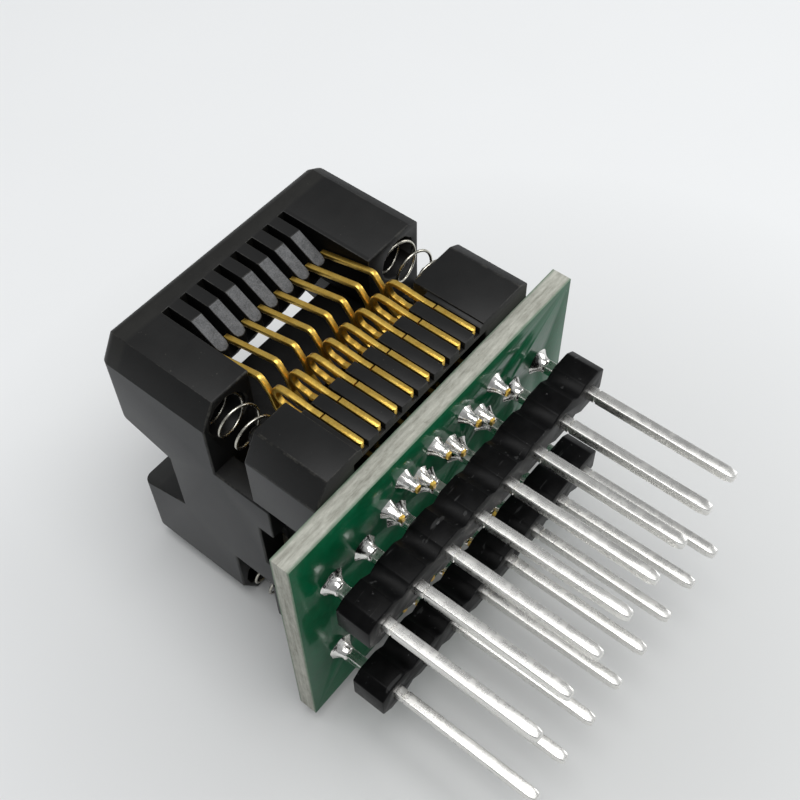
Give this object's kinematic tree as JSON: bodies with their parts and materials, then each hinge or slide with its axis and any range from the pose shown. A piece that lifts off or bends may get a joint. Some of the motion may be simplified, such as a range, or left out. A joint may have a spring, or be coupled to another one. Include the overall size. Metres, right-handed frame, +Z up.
{
  "type": "sop to dip programming socket",
  "caption": "Open-top spring socket for a gull-wing chip on a small circuit board, with two rows of square pins that fit a DIP socket; its cover presses down to open the contacts.",
  "frame": {"origin": "on the surface that the adapter lies on, under the centre of its bounding box", "axes": "+X along the contact rows, +Y from the pin tips to the press cover, +Z up: it lies on a long side"},
  "size_m": [0.0228, 0.0296, 0.0198],
  "materials": {
    "socket_plastic": "matte",
    "strip_plastic": "satin",
    "board_laminate": "satin",
    "gold_contact": "satin",
    "tinned_pin": "polished",
    "spring_wire": "polished",
    "solder": "polished"
  },
  "bodies": {
    "base_body": {"socket_base": "socket_plastic", "circuit_board": "board_laminate", "header_strip_a": "strip_plastic", "header_strip_b": "strip_plastic", "pin_solder_a": "solder", "pin_solder_b": "solder", "contact_solder_a": "solder", "contact_solder_b": "solder", "header_pin_a1": "tinned_pin", "header_pin_a2": "tinned_pin", "header_pin_a3": "tinned_pin", "header_pin_a4": "tinned_pin", "header_pin_a5": "tinned_pin", "header_pin_a6": "tinned_pin", "header_pin_a7": "tinned_pin", "header_pin_a8": "tinned_pin", "header_pin_b1": "tinned_pin", "header_pin_b2": "tinned_pin", "header_pin_b3": "tinned_pin", "header_pin_b4": "tinned_pin", "header_pin_b5": "tinned_pin", "header_pin_b6": "tinned_pin", "header_pin_b7": "tinned_pin", "header_pin_b8": "tinned_pin", "contact_a1": "gold_contact", "contact_a2": "gold_contact", "contact_a3": "gold_contact", "contact_a4": "gold_contact", "contact_a5": "gold_contact", "contact_a6": "gold_contact", "contact_a7": "gold_contact", "contact_a8": "gold_contact", "contact_b1": "gold_contact", "contact_b2": "gold_contact", "contact_b3": "gold_contact", "contact_b4": "gold_contact", "contact_b5": "gold_contact", "contact_b6": "gold_contact", "contact_b7": "gold_contact", "contact_b8": "gold_contact", "cover_spring_a1": "spring_wire", "cover_spring_a2": "spring_wire", "cover_spring_b1": "spring_wire", "cover_spring_b2": "spring_wire"},
    "cover_body": {"press_cover": "socket_plastic"}
  },
  "joints": [
    {"name": "cover_press", "type": "slide", "parent": "base_body", "child": "cover_body", "axis": [0, -1, 0], "range_m": [0, 0.0025], "stiffness_N_per_m": 3600, "springref_m": -0.0004, "deforming": ["cover_spring_a1", "cover_spring_a2", "cover_spring_b1", "cover_spring_b2"]}
  ]
}
